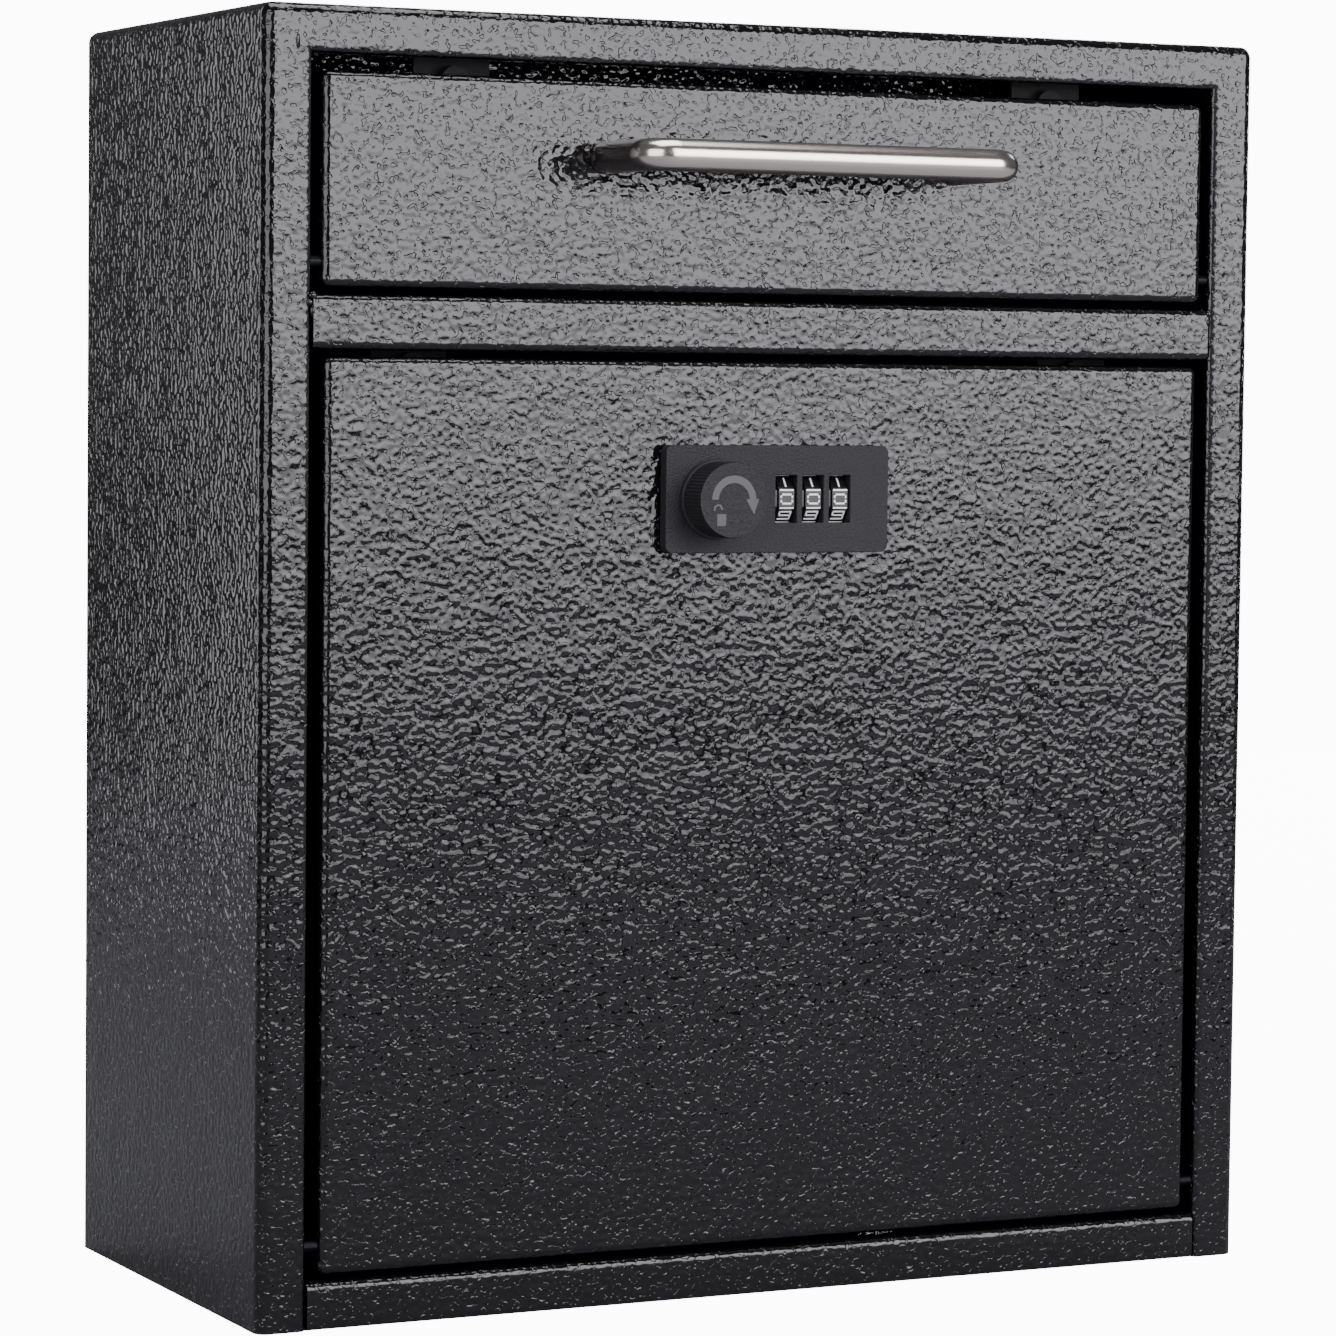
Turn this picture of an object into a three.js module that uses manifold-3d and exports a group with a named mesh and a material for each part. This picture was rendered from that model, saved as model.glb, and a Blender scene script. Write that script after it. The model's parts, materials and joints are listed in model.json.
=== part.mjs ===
// Parcel drop box: a folded steel cabinet with a tilting drop flap above a lockable retrieval door.
// Millimetres, +Z up, the front of the box faces -Y. Inside the model group the front skin lies on
// Y = 0, the back on Y = bodyDepth and the base on Z = 0; the group is then centred on the origin.
import * as THREE from "three";
import { mergeVertices } from "three/addons/utils/BufferGeometryUtils.js";
import Module from "manifold-3d";

// ---------------------------------------------------------------- driving dimensions

// Cabinet
const bodyWidth = 330;
const bodyHeight = 380;
const bodyDepth = 153;
const sheet = 1.2; // steel sheet of the cabinet and both doors
const cabinetBend = 3.5; // outside radius of the cabinet's folds
const stileWidth = 15; // front face left and right of the opening
const railHeight = 14; // front face above and below the opening
const lipDepth = 6; // fold behind the opening's edge
const rearFlange = 14;
const bottomFlange = 10; // top fold of the bottom rail, from the front skin
const weldGap = 0.3; // between sheets that are welded face to face
const overlap = 0.5; // how far shapes that are fused run into each other
const crossRailBottom = 282;
const crossRailHeight = 16;
const crossRailDepth = 17;
const wallHoleRadius = 4;
const wallHoleInset = 45; // from the sides, the top and the base to the wall screws

// Doors
const doorBend = 2.5; // outside radius of the folds round both doors
const doorSideGap = 3.9; // between the retrieval door and the stiles
const flapSideGap = 3.0;
const doorEndGap = 1.8; // above and below each door
const flapTopGap = 4.6;
const doorPanDepth = 16;
const doorLip = 10;
const flapPanDepth = 14;

// Pivots
const pinRadius = 1.9;
const pinPlay = 0.12; // radial play of every pin in its hole
const pinBehindSkin = 3.6; // from the front skin to both pivot axes
const doorPivotRise = 8.2; // from the door's lower edge to its pivot axis
const flapPivotRise = 7.2;
const pinHeadRadius = 3.4;
const pinHeadLength = 1.4;
const clipRadius = 2.3; // clears the stile while the door turns
const clipLength = 0.8;
const bracketSheet = 1.5;
const bracketInset = 11.5; // pivot plate to the cabinet side
const bracketHeight = 20;
const bracketFoot = 17;
const bracketWeb = 13; // from the front skin to the bracket's web

// Flap inner parts
const trayFlat = 10; // level stretch of the tray behind the flap
const traySlope = 35; // degrees below level
const trayLength = 58;
const traySheet = 1.0;
const trayLap = 8; // of the tray inside the flap's folds
const cheekRadius = 53;
const cheekSteps = 48; // chords round a full circle of the cheek's radius
const baffleBack = 92; // from the front skin to the baffle
const baffleDrop = 44;
const baffleFoot = 16;
const baffleSideGap = 4; // from the opening's sides

// Handle
const rodRadius = 4.75;
const handleLength = 127;
const handleProjection = 38;
const handleBend = 7; // radius of the rod's centre line
const handleAboveFlapMiddle = 8.2;
const handleTapRest = 6; // solid rod beyond the tapped hole of each leg
const handleTurnSteps = 6;
const screwRadius = 2.5;
const screwPlay = 0.15;
const screwReach = 14; // into the leg
const screwHeadRadius = 4.5;
const screwHeadHeight = 3;
const washerRadius = 5.5;
const washerThickness = 1;

// Stops
const bumperRadius = 4.5;
const bumperThickness = 3;
const stopWidth = 24;
const stopBelowBumper = 2;
const flapBumperDrop = 1; // from the flap's upper edge to its bumpers' middle
const doorBumperDrop = 3;
const doorStopFoot = 4; // from the cross rail's front to the stop's foot
const flapStopX = 100;
const doorStopX = 112;

// Door stiffeners
const stiffenerX = 92;
const stiffenerCrown = 30;
const stiffenerFlange = 10;
const stiffenerDepth = 12;
const stiffenerClear = 14; // from the door's ends to the stiffener's ends

// Lock
const lockX = -2.6;
const lockBelowDoorTop = 40.8; // from the door's upper edge to the lock's centre line
const plateWidth = 74.3;
const plateHeight = 31.9;
const plateThickness = 4;
const plateCorner = 2.2;
const knobOffset = -20.9; // from the lock's centre
const knobFaceRadius = 11.2;
const knobBaseRadius = 11.8;
const knobHeight = 12;
const knobGap = 0.3;
const wheelPitch = 9;
const firstWheelOffset = 2.7;
const windowWidth = 7.1;
const windowHeight = 14.2;
const wheelRadius = 9;
const wheelWidth = 6.5;
const wheelProud = 0.2; // wheels in front of the faceplate
const wheelFaces = 10;
const wheelGroove = 0.35;
const ridgeAngle = 3; // degrees from a ridge's middle to its edge
const grooveAngle = 5; // degrees from a ridge's middle to the flat
const wheelClear = 0.6; // round the wheels behind the faceplate
const axleRadius = 1.5;
const axleOverhang = 2; // beyond the rib
const springThickness = 0.5;
const springHalfHeight = 8;
const springSlit = 2;
const springRoot = 3; // below the slits
const plateSkin = 1.2; // faceplate left in front of its hollows
const plateRim = 5.15; // faceplate left and right of the housing behind it
const plateEdge = 3.25; // faceplate above and below the housing
const housingWidth = plateWidth - 2 * plateRim;
const housingHeight = plateHeight - 2 * plateEdge;
const housingBack = 17.3; // from the front skin to the housing's rear face
const housingWall = 1.5;
const ribGap = 1; // from the first wheel's pitch to the rib that carries the axle
const spindleRadius = 4;
const spindleSquare = 5.6;
const knobBore = 7;
const knobEdge = 0.6; // bevel round the knob's face
const knobDraft = 0.2; // growth of the knob's radius towards its skirt
const knobSkirt = 1.2;
const knobShoulder = 2; // from the knob's back to where the skirt starts to flare
const knobSteps = 40;
const camSeat = 1; // of the square inside the round shaft
const spindleTap = 6;
const camScrewReach = 5;
const smallScrewRadius = 1.5;
const smallScrewSteps = 12;
const camHeadRadius = 3.2;
const camHeadHeight = 2.4;
const camThickness = 2.4;
const camWidth = 13;
const camReach = 48;
const camGap = 1.5; // behind the housing
const camRootCorner = 6;
const camTipCorner = 2;
const keeperHalfWidth = 20;
const keeperHeight = 10; // above the cross rail's lower flange
const keeperFoot = 6; // from the cross rail's front to the keeper's foot
const clampThickness = 1.5;
const clampInset = 0.5; // from the faceplate's upper and lower edges
const clampScrewReach = 2.5;
const clampHeadHeight = 1.8;

// ---------------------------------------------------------------- helpers

const wasm = await Module();
wasm.setup();
const deg = Math.PI / 180;
const roundSteps = 20;
const bendSteps = 4;

function toSolid(geometry) {
  const bare = geometry.clone();
  bare.deleteAttribute("normal");
  bare.deleteAttribute("uv");
  const merged = mergeVertices(bare, 1e-4);
  return new wasm.Manifold(
    new wasm.Mesh({
      numProp: 3,
      vertProperties: new Float32Array(merged.attributes.position.array),
      triVerts: new Uint32Array(merged.index.array),
    }),
  );
}

function toGeometry(solid) {
  const mesh = solid.getMesh();
  const geometry = new THREE.BufferGeometry();
  geometry.setAttribute("position", new THREE.BufferAttribute(mesh.vertProperties, 3));
  geometry.setIndex(new THREE.BufferAttribute(mesh.triVerts, 1));
  const flat = geometry.toNonIndexed();
  flat.computeVertexNormals();
  return flat;
}

const joined = (...solids) => solids.reduce((all, next) => all.add(next));
const cut = (solid, ...tools) => tools.reduce((left, tool) => left.subtract(tool), solid);

function box(x, y, z) {
  const geometry = new THREE.BoxGeometry(x[1] - x[0], y[1] - y[0], z[1] - z[0]);
  geometry.translate((x[0] + x[1]) / 2, (y[0] + y[1]) / 2, (z[0] + z[1]) / 2);
  return toSolid(geometry);
}

// Rectangle with its own radius at each corner: low-low, high-low, high-high, low-high.
function roundedRectangle(a, b, radii) {
  const [ll, hl, hh, lh] = radii;
  const shape = new THREE.Shape();
  shape.moveTo(a[0] + ll, b[0]);
  shape.lineTo(a[1] - hl, b[0]);
  if (hl > 0) shape.absarc(a[1] - hl, b[0] + hl, hl, -Math.PI / 2, 0);
  shape.lineTo(a[1], b[1] - hh);
  if (hh > 0) shape.absarc(a[1] - hh, b[1] - hh, hh, 0, Math.PI / 2);
  shape.lineTo(a[0] + lh, b[1]);
  if (lh > 0) shape.absarc(a[0] + lh, b[1] - lh, lh, Math.PI / 2, Math.PI);
  shape.lineTo(a[0], b[0] + ll);
  if (ll > 0) shape.absarc(a[0] + ll, b[0] + ll, ll, Math.PI, 1.5 * Math.PI);
  return shape;
}

function outline(points) {
  return new THREE.Shape(points.map(([a, b]) => new THREE.Vector2(a, b)));
}

function extruded(shape, length) {
  return new THREE.ExtrudeGeometry(shape, {
    depth: length,
    bevelEnabled: false,
    curveSegments: bendSteps,
  });
}

// Outline in Y and Z, extruded along X.
function alongX(shape, from, to) {
  const geometry = extruded(shape, to - from);
  const turn = new THREE.Matrix4().makeBasis(
    new THREE.Vector3(0, 1, 0),
    new THREE.Vector3(0, 0, 1),
    new THREE.Vector3(1, 0, 0),
  );
  return toSolid(geometry.applyMatrix4(turn).translate(from, 0, 0));
}

// Outline in X and Z, extruded along Y.
function alongY(shape, from, to) {
  const geometry = extruded(shape, to - from);
  return toSolid(geometry.rotateX(Math.PI / 2).translate(0, to, 0));
}

// Outline in X and Y, extruded along Z.
function alongZ(shape, from, to) {
  return toSolid(extruded(shape, to - from).translate(0, 0, from));
}

function rodX(radius, from, to, y, z, steps = roundSteps) {
  const geometry = new THREE.CylinderGeometry(radius, radius, to - from, steps);
  return toSolid(geometry.rotateZ(Math.PI / 2).translate((from + to) / 2, y, z));
}

function rodY(radius, from, to, x, z, steps = roundSteps) {
  const geometry = new THREE.CylinderGeometry(radius, radius, to - from, steps);
  return toSolid(geometry.translate(x, (from + to) / 2, z));
}

const model = new THREE.Group();
function place(name, solid, color, roughness, metalness) {
  const material = new THREE.MeshStandardMaterial({ color, roughness, metalness });
  const mesh = new THREE.Mesh(toGeometry(solid), material);
  mesh.name = name;
  model.add(mesh);
}
const paintedSteel = [0x16161a, 0.35, 0.4];
const blackOxide = [0x222225, 0.45, 0.8];
const zincPlate = [0xb9bcc0, 0.4, 0.9];
const stainless = [0xb5b2ad, 0.28, 1.0];
const blackPlastic = [0x2a2a2c, 0.6, 0.0];
const wheelPlastic = [0x101012, 0.35, 0.0];
const blackRubber = [0x1b1b1b, 0.85, 0.0];
const springSteel = [0x8e9196, 0.35, 0.9];

// A side of +1 is the right end, -1 the left one.
const sides = [["left", -1], ["right", 1]];
const spanX = (side, near, far) => (side > 0 ? [near, far] : [-far, -near]);

// ---------------------------------------------------------------- derived places

const halfWidth = bodyWidth / 2;
const openX = halfWidth - stileWidth;
const openTop = bodyHeight - railHeight;
const crossRailTop = crossRailBottom + crossRailHeight;

const doorX = openX - doorSideGap;
const doorBottom = railHeight + doorEndGap;
const doorTop = crossRailBottom - doorEndGap;
const doorPivotZ = doorBottom + doorPivotRise;

const flapX = openX - flapSideGap;
const flapBottom = crossRailTop + doorEndGap;
const flapTop = openTop - flapTopGap;
const flapPivotZ = flapBottom + flapPivotRise;
const flapMiddle = (flapBottom + flapTop) / 2;

const bracketPlateX = halfWidth - bracketInset - bracketSheet;
const sideInnerX = halfWidth - sheet - weldGap;

// ---------------------------------------------------------------- cabinet

// Block with the cabinet's folds, drawn inwards by an inset.
function cabinetBlock(inset) {
  const x = [inset - halfWidth, halfWidth - inset];
  const y = [inset, bodyDepth - inset];
  const z = [inset, bodyHeight - inset];
  const fold = cabinetBend - inset;
  const front = alongY(roundedRectangle(x, z, [0, 0, fold, fold]), ...y);
  const above = alongZ(roundedRectangle(x, y, [fold, fold, fold, fold]), ...z);
  const side = alongX(roundedRectangle(y, z, [0, 0, fold, fold]), ...x);
  return front.intersect(above).intersect(side);
}

const past = 5; // how far a cutting tool runs past the sheet
function makeWrap() {
  const shell = cut(cabinetBlock(0), cabinetBlock(sheet));
  const lipOuter = openX + sheet;
  const lips = cut(
    box([-lipOuter, lipOuter], [sheet / 2, lipDepth], [railHeight, openTop + sheet]),
    box([-openX, openX], [-past, lipDepth + past], [-past, openTop]),
  );
  const frontOpening = box([-openX, openX], [-past, sheet + past], [-past, openTop]);
  const rearX = halfWidth - rearFlange;
  const rearOpening = box(
    [-rearX, rearX],
    [bodyDepth - sheet - past, bodyDepth + past],
    [-past, bodyHeight - rearFlange],
  );
  const floorOpening = box(
    [sheet - halfWidth, halfWidth - sheet],
    [sheet, bodyDepth - sheet],
    [-past, sheet + past],
  );
  const notches = sides.flatMap(([, side]) =>
    [doorPivotZ, flapPivotZ].map((z) =>
      box(
        spanX(side, openX - past, lipOuter + weldGap),
        [sheet, lipDepth + past],
        [z - bracketHeight / 2, z + bracketHeight / 2],
      ),
    ),
  );
  return cut(joined(cut(shell, frontOpening, rearOpening, floorOpening), lips), ...notches);
}
place("cabinet_wrap", makeWrap(), ...paintedSteel);

// Base with the bottom rail folded up in front, a low upstand behind and wings to the sides.
function makeBottomPan() {
  const panX = openX - weldGap;
  const outer = roundedRectangle(
    [0, bodyDepth],
    [0, railHeight],
    [0, 0, doorBend, doorBend],
  );
  const pan = alongX(outer, -panX, panX);
  const hollow = box(
    [-panX - past, panX + past],
    [sheet, bodyDepth - sheet],
    [sheet, railHeight - sheet],
  );
  const mouth = box(
    [-panX - past, panX + past],
    [bottomFlange, bodyDepth - sheet],
    [sheet, railHeight + past],
  );
  const wingCorner = roundedRectangle(
    [-sideInnerX, sideInnerX],
    [sheet + weldGap, bodyDepth - sheet - weldGap],
    [cabinetBend, cabinetBend, cabinetBend, cabinetBend],
  );
  const wings = alongZ(wingCorner, 0, sheet);
  return joined(cut(pan, hollow, mouth), wings);
}
place("bottom_pan", makeBottomPan(), ...paintedSteel);

function makeBackPlate() {
  const back = bodyDepth - sheet - weldGap;
  const low = sheet + weldGap;
  const high = bodyHeight - cabinetBend - weldGap;
  const plateX = halfWidth - cabinetBend - weldGap;
  const plate = box([-plateX, plateX], [back - sheet, back], [low, high]);
  const holeX = halfWidth - wallHoleInset;
  const holes = [-holeX, holeX].flatMap((x) =>
    [wallHoleInset, bodyHeight - wallHoleInset].map((z) =>
      rodY(wallHoleRadius, back - past, back + past, x, z),
    ),
  );
  return cut(plate, ...holes);
}
place("back_plate", makeBackPlate(), ...paintedSteel);

function makeCrossRail() {
  const railX = openX - weldGap;
  const outer = roundedRectangle(
    [0, crossRailDepth],
    [crossRailBottom, crossRailTop],
    [doorBend, 0, 0, doorBend],
  );
  const inner = roundedRectangle(
    [sheet, crossRailDepth + past],
    [crossRailBottom + sheet, crossRailTop - sheet],
    [doorBend - sheet, 0, 0, doorBend - sheet],
  );
  return cut(alongX(outer, -railX, railX), alongX(inner, -railX - past, railX + past));
}
place("cross_rail", makeCrossRail(), ...paintedSteel);

// Pivot bracket: plate beside the door, web, and foot welded to the cabinet side.
function makeBracket(side, pivotZ) {
  const web = bracketWeb;
  const z = [pivotZ - bracketHeight / 2 + weldGap, pivotZ + bracketHeight / 2 - weldGap];
  const plateSpan = spanX(side, bracketPlateX, bracketPlateX + bracketSheet);
  const plate = box(plateSpan, [sheet + weldGap, web + bracketSheet], z);
  const bridge = box(spanX(side, bracketPlateX, sideInnerX), [web, web + bracketSheet], z);
  const foot = box(spanX(side, sideInnerX - bracketSheet, sideInnerX), [web, web + bracketFoot], z);
  const holeSpan = [plateSpan[0] - past, plateSpan[1] + past];
  const hole = rodX(pinRadius + pinPlay, ...holeSpan, pinBehindSkin, pivotZ);
  return cut(joined(plate, bridge, foot), hole);
}

// Pin with its head inside the door; the clip sits beyond the bracket's plate.
function makePin(side, headX, pivotZ) {
  const end = bracketPlateX + bracketSheet + 3 * clipLength;
  const shank = spanX(side, headX, end);
  const head = spanX(side, headX - pinHeadLength, headX);
  return joined(
    rodX(pinRadius, ...shank, pinBehindSkin, pivotZ),
    rodX(pinHeadRadius, ...head, pinBehindSkin + pinHeadRadius - pinRadius, pivotZ),
  );
}
function makeClip(side, pivotZ) {
  const near = bracketPlateX + bracketSheet + weldGap;
  const span = spanX(side, near, near + clipLength);
  return cut(
    rodX(clipRadius, ...span, pinBehindSkin + clipRadius - pinRadius, pivotZ),
    rodX(pinRadius + pinPlay, span[0] - past, span[1] + past, pinBehindSkin, pivotZ),
  );
}

// ---------------------------------------------------------------- doors

// Folded pan: skin in front, four returns, optional lips turned in at the back.
function makePan(halfX, z, depth, lip) {
  const fold = doorBend;
  const block = (inset, back) => {
    const x = [inset - halfX, halfX - inset];
    const zIn = [z[0] + inset, z[1] - inset];
    const r = fold - inset;
    return alongZ(roundedRectangle(x, [inset, back], [r, r, 0, 0]), ...zIn).intersect(
      alongX(roundedRectangle([inset, back], zIn, [r, 0, 0, r]), ...x),
    );
  };
  if (lip === 0) return cut(block(0, depth), block(sheet, depth + past));
  const mouth = box(
    [lip - halfX, halfX - lip],
    [depth - sheet - past, depth + past],
    [z[0] + lip, z[1] - lip],
  );
  return cut(block(0, depth), block(sheet, depth - sheet), mouth);
}

function pinHoles(halfX, pivotZ) {
  const radius = pinRadius + pinPlay;
  return sides.map(([, side]) => {
    const span = spanX(side, halfX - past, halfX + past);
    return rodX(radius, ...span, pinBehindSkin, pivotZ);
  });
}

const lockZ = doorTop - lockBelowDoorTop;
const knobX = lockX + knobOffset;
const housingX = [lockX - housingWidth / 2, lockX + housingWidth / 2];
const housingZ = [lockZ - housingHeight / 2, lockZ + housingHeight / 2];
const clampScrewX = (plateWidth + housingWidth) / 4;

function makeDoorPanel() {
  const pan = makePan(doorX, [doorBottom, doorTop], doorPanDepth, doorLip);
  const lockHole = box(
    [housingX[0] - weldGap, housingX[1] + weldGap],
    [-past, past],
    [housingZ[0] - weldGap, housingZ[1] + weldGap],
  );
  const screwHoles = [-clampScrewX, clampScrewX].map((x) =>
    rodY(smallScrewRadius + screwPlay, -past, past, lockX + x, lockZ),
  );
  return cut(pan, lockHole, ...screwHoles, ...pinHoles(doorX, doorPivotZ));
}
place("door_panel", makeDoorPanel(), ...paintedSteel);

function makeStiffener(centre) {
  const front = sheet + weldGap;
  const back = front + stiffenerDepth;
  const inner = stiffenerCrown / 2;
  const outer = inner + stiffenerFlange;
  const hat = outline([
    [centre - outer, front],
    [centre - inner + sheet, front],
    [centre - inner + sheet, back - sheet],
    [centre + inner - sheet, back - sheet],
    [centre + inner - sheet, front],
    [centre + outer, front],
    [centre + outer, front + sheet],
    [centre + inner, front + sheet],
    [centre + inner, back],
    [centre - inner, back],
    [centre - inner, front + sheet],
    [centre - outer, front + sheet],
  ]);
  return alongZ(hat, doorBottom + stiffenerClear, doorTop - stiffenerClear);
}

const handleZ = flapMiddle + handleAboveFlapMiddle;
const legX = handleLength / 2 - rodRadius;
function makeFlapPanel() {
  const pan = makePan(flapX, [flapBottom, flapTop], flapPanDepth, 0);
  const screwHoles = [-legX, legX].map((x) =>
    rodY(screwRadius + screwPlay, -past, past, x, handleZ),
  );
  return cut(pan, ...screwHoles, ...pinHoles(flapX, flapPivotZ));
}
place("flap_panel", makeFlapPanel(), ...paintedSteel);

// ---------------------------------------------------------------- flap inner parts

const trayFront = flapPanDepth - trayLap;
const trayTop = flapBottom + sheet + weldGap + traySheet;
const trayKnee = flapPanDepth + trayFlat;
const slopeRun = trayLength * Math.cos(traySlope * deg);
const slopeDrop = trayLength * Math.sin(traySlope * deg);
const cheekInner = flapX - 2 * sheet - weldGap;

function makeTray() {
  const back = trayKnee + slopeRun;
  const lower = traySheet / Math.cos(traySlope * deg);
  const profile = outline([
    [trayFront, trayTop - traySheet],
    [trayKnee, trayTop - traySheet],
    [back, trayTop - slopeDrop - lower],
    [back, trayTop - slopeDrop],
    [trayKnee, trayTop],
    [trayFront, trayTop],
  ]);
  return alongX(profile, weldGap - cheekInner, cheekInner - weldGap);
}
place("flap_tray", makeTray(), ...paintedSteel);

// Side cheek: a sector about the pivot axis, from the flap's top down to the tray's line.
function makeCheek(side) {
  const front = doorBend + weldGap;
  const low = flapBottom + doorBend + weldGap;
  const span = spanX(side, cheekInner, cheekInner + sheet);
  const sector = rodX(cheekRadius, ...span, pinBehindSkin, flapPivotZ, cheekSteps);
  const drop = (y) => trayTop - (y - trayKnee) * Math.tan(traySlope * deg);
  const far = trayKnee + slopeRun;
  const window = outline([
    [front, low],
    [trayKnee, low],
    [far, drop(far) - traySheet],
    [far, flapTop - doorBend - weldGap],
    [front, flapTop - doorBend - weldGap],
  ]);
  const holeSpan = [span[0] - past, span[1] + past];
  const hole = rodX(pinRadius + pinPlay, ...holeSpan, pinBehindSkin, flapPivotZ);
  return cut(sector.intersect(alongX(window, ...span)), hole);
}

function makeHandle() {
  const legLength = handleProjection - rodRadius - handleBend;
  const barLength = 2 * (legX - handleBend);
  const barY = rodRadius - handleProjection;
  const stations = [];
  stations.push([-legX, -weldGap], [-legX, -legLength]);
  for (let i = 1; i <= handleTurnSteps; i += 1) {
    const a = (i / handleTurnSteps) * 90 * deg;
    stations.push([
      -legX + handleBend * (1 - Math.cos(a)),
      -legLength - handleBend * Math.sin(a),
    ]);
  }
  stations.push([-legX + handleBend + barLength, barY]);
  for (let i = 1; i <= handleTurnSteps; i += 1) {
    const a = (i / handleTurnSteps) * 90 * deg;
    stations.push([legX - handleBend * (1 - Math.sin(a)), barY + handleBend * (1 - Math.cos(a))]);
  }
  stations.push([legX, -weldGap]);

  // Path through the stations, sampled at each of them and nowhere else.
  class RodPath extends THREE.Curve {
    getPoint(t) {
      const place = Math.min(Math.max(t, 0), 1) * (stations.length - 1);
      const i = Math.min(Math.floor(place), stations.length - 2);
      const mix = place - i;
      const x = stations[i][0] * (1 - mix) + stations[i + 1][0] * mix;
      const y = stations[i][1] * (1 - mix) + stations[i + 1][1] * mix;
      return new THREE.Vector3(x, y, handleZ);
    }
    getPointAt(t) {
      return this.getPoint(t);
    }
    getTangentAt(t) {
      const step = 0.25 / (stations.length - 1);
      const ahead = this.getPoint(Math.min(t + step, 1));
      return ahead.sub(this.getPoint(Math.max(t - step, 0))).normalize();
    }
    getSpacedPoints(divisions) {
      return Array.from({ length: divisions + 1 }, (_, i) => this.getPoint(i / divisions));
    }
  }
  const section = new THREE.Shape().absarc(0, 0, rodRadius, 0, 2 * Math.PI);
  const rod = new THREE.ExtrudeGeometry(section, {
    steps: stations.length - 1,
    curveSegments: roundSteps,
    extrudePath: new RodPath(),
    bevelEnabled: false,
  });
  const taps = [-legX, legX].map((x) =>
    rodY(screwRadius + screwPlay, handleTapRest - legLength, past, x, handleZ),
  );
  return cut(toSolid(rod), ...taps);
}
place("pull_handle", makeHandle(), ...stainless);

for (const [word, side] of sides) {
  const x = side * legX;
  const washerY = [sheet + weldGap, sheet + weldGap + washerThickness];
  const washer = cut(
    rodY(washerRadius, ...washerY, x, handleZ),
    rodY(screwRadius + screwPlay, washerY[0] - past, washerY[1] + past, x, handleZ),
  );
  place(`handle_washer_${word}`, washer, ...zincPlate);
  const headY = washerY[1] + weldGap;
  const screw = joined(
    rodY(screwRadius, -screwReach, headY + overlap, x, handleZ),
    rodY(screwHeadRadius, headY, headY + screwHeadHeight, x, handleZ),
  );
  place(`handle_screw_${word}`, screw, ...zincPlate);

  place(`flap_cheek_${word}`, makeCheek(side), ...paintedSteel);
  place(`flap_bracket_${word}`, makeBracket(side, flapPivotZ), ...paintedSteel);
  place(`flap_pin_${word}`, makePin(side, cheekInner - weldGap, flapPivotZ), ...blackOxide);
  place(`flap_pin_clip_${word}`, makeClip(side, flapPivotZ), ...blackOxide);
  place(`door_bracket_${word}`, makeBracket(side, doorPivotZ), ...paintedSteel);
  place(`door_pin_${word}`, makePin(side, doorX - sheet - weldGap, doorPivotZ), ...blackOxide);
  place(`door_pin_clip_${word}`, makeClip(side, doorPivotZ), ...blackOxide);
  place(`door_stiffener_${word}`, makeStiffener(side * stiffenerX), ...paintedSteel);
}

function makeBaffle() {
  const high = bodyHeight - sheet - weldGap;
  const x = openX - baffleSideGap;
  return joined(
    box([-x, x], [baffleBack, baffleBack + sheet], [high - baffleDrop, high]),
    box([-x, x], [baffleBack, baffleBack + baffleFoot], [high - sheet, high]),
  );
}
place("chute_baffle", makeBaffle(), ...paintedSteel);

// ---------------------------------------------------------------- stops behind the doors

for (const [word, side] of sides) {
  const flapTab = flapPanDepth + bumperThickness + 2 * weldGap;
  const ceiling = bodyHeight - sheet - weldGap;
  const x = [side * flapStopX - stopWidth / 2, side * flapStopX + stopWidth / 2];
  const bumperZ = flapTop - flapBumperDrop;
  const tabLow = bumperZ - bumperRadius - stopBelowBumper;
  const flapStop = joined(
    box(x, [flapTab, flapTab + bracketSheet], [tabLow, ceiling]),
    box(x, [flapTab, flapTab + stopWidth / 2], [ceiling - bracketSheet, ceiling]),
  );
  place(`flap_stop_${word}`, flapStop, ...paintedSteel);
  const flapBumper = rodY(
    bumperRadius,
    flapPanDepth + weldGap,
    flapPanDepth + weldGap + bumperThickness,
    side * flapStopX,
    bumperZ,
  );
  place(`flap_bumper_${word}`, flapBumper, ...blackRubber);

  const doorTab = doorPanDepth + bumperThickness + 2 * weldGap;
  const shelf = crossRailBottom + sheet + weldGap;
  const xDoor = [side * doorStopX - stopWidth / 2, side * doorStopX + stopWidth / 2];
  const doorBumperZ = doorTop - doorBumperDrop;
  const doorTabLow = doorBumperZ - bumperRadius - stopBelowBumper;
  const doorStop = joined(
    box(xDoor, [doorTab, doorTab + bracketSheet], [doorTabLow, shelf + bracketSheet]),
    box(xDoor, [sheet + doorStopFoot, doorTab + bracketSheet], [shelf, shelf + bracketSheet]),
  );
  place(`door_stop_${word}`, doorStop, ...paintedSteel);
  const doorBumper = rodY(
    bumperRadius,
    doorPanDepth + weldGap,
    doorPanDepth + weldGap + bumperThickness,
    side * doorStopX,
    doorBumperZ,
  );
  place(`door_bumper_${word}`, doorBumper, ...blackRubber);
}

// ---------------------------------------------------------------- combination cam lock

const wheelX = [0, 1, 2].map((i) => lockX + firstWheelOffset + i * wheelPitch);
const wheelY = wheelRadius - plateThickness - wheelProud;
const faceY = -plateThickness - weldGap;

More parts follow.
